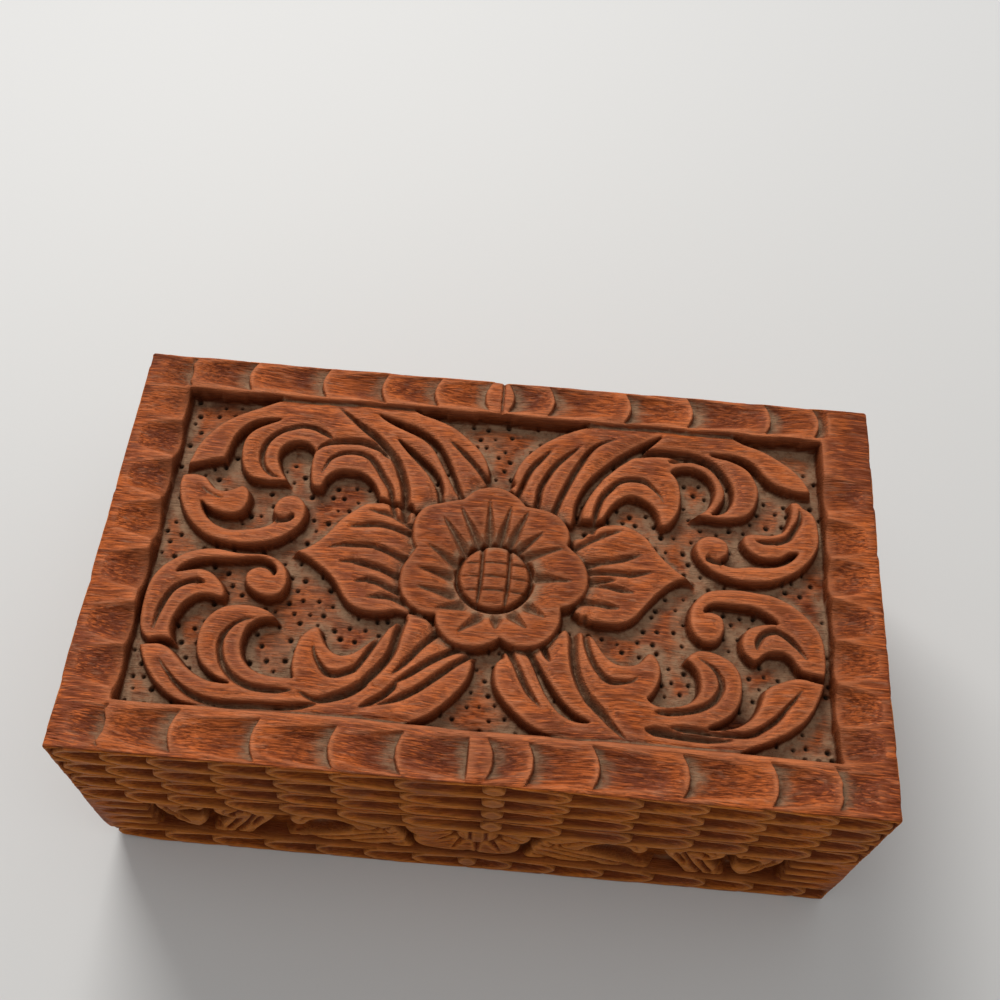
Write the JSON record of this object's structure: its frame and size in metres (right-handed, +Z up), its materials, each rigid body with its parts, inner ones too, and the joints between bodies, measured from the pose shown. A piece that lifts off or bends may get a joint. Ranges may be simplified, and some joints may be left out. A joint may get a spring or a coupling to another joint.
{
  "type": "trinket box",
  "caption": "Rectangular hand-carved hardwood trinket box with a deep hinged lid, floral relief on the lid and scalloped gouge borders.",
  "frame": {"origin": "centre of the underside, on the surface that the box stands on", "axes": "+X along the length, to the right seen from the front; -Y towards the front, the hinges are at +Y; +Z up"},
  "size_m": [0.2, 0.116, 0.073],
  "materials": {
    "lid_wood": "bare hand-carved hardwood, reddish brown, dusty in the gouge cuts",
    "body_wood": "bare hand-carved hardwood, reddish brown, dusty in the gouge cuts",
    "bottom_wood": "planed, unfinished",
    "dowel_wood": "turned, unfinished",
    "hinge_brass": "aged, dull",
    "screw_brass": "aged, dull",
    "pin_steel": "drawn wire",
    "nail_steel": "dull wire nails"
  },
  "bodies": {
    "body": {"body_front_wall": "body_wood", "body_back_wall": "body_wood", "body_left_wall": "body_wood", "body_right_wall": "body_wood", "body_corner_dowels": "dowel_wood", "body_bottom_board": "bottom_wood", "bottom_nails": "nail_steel", "left_hinge_body_leaf": "hinge_brass", "left_hinge_pin": "pin_steel", "right_hinge_body_leaf": "hinge_brass", "right_hinge_pin": "pin_steel", "hinge_body_screws": "screw_brass"},
    "lid": {"lid_top_board": "lid_wood", "lid_front_rail": "lid_wood", "lid_back_rail": "lid_wood", "lid_left_rail": "lid_wood", "lid_right_rail": "lid_wood", "lid_corner_dowels": "dowel_wood", "lid_board_pins": "dowel_wood", "left_hinge_lid_leaf": "hinge_brass", "right_hinge_lid_leaf": "hinge_brass", "hinge_lid_screws": "screw_brass"}
  },
  "joints": [
    {"name": "lid_hinge", "type": "hinge", "parent": "body", "child": "lid", "pos_m": [0, 0.0556, 0.0458], "axis": [-1, 0, 0], "range_deg": [0, 98]}
  ]
}
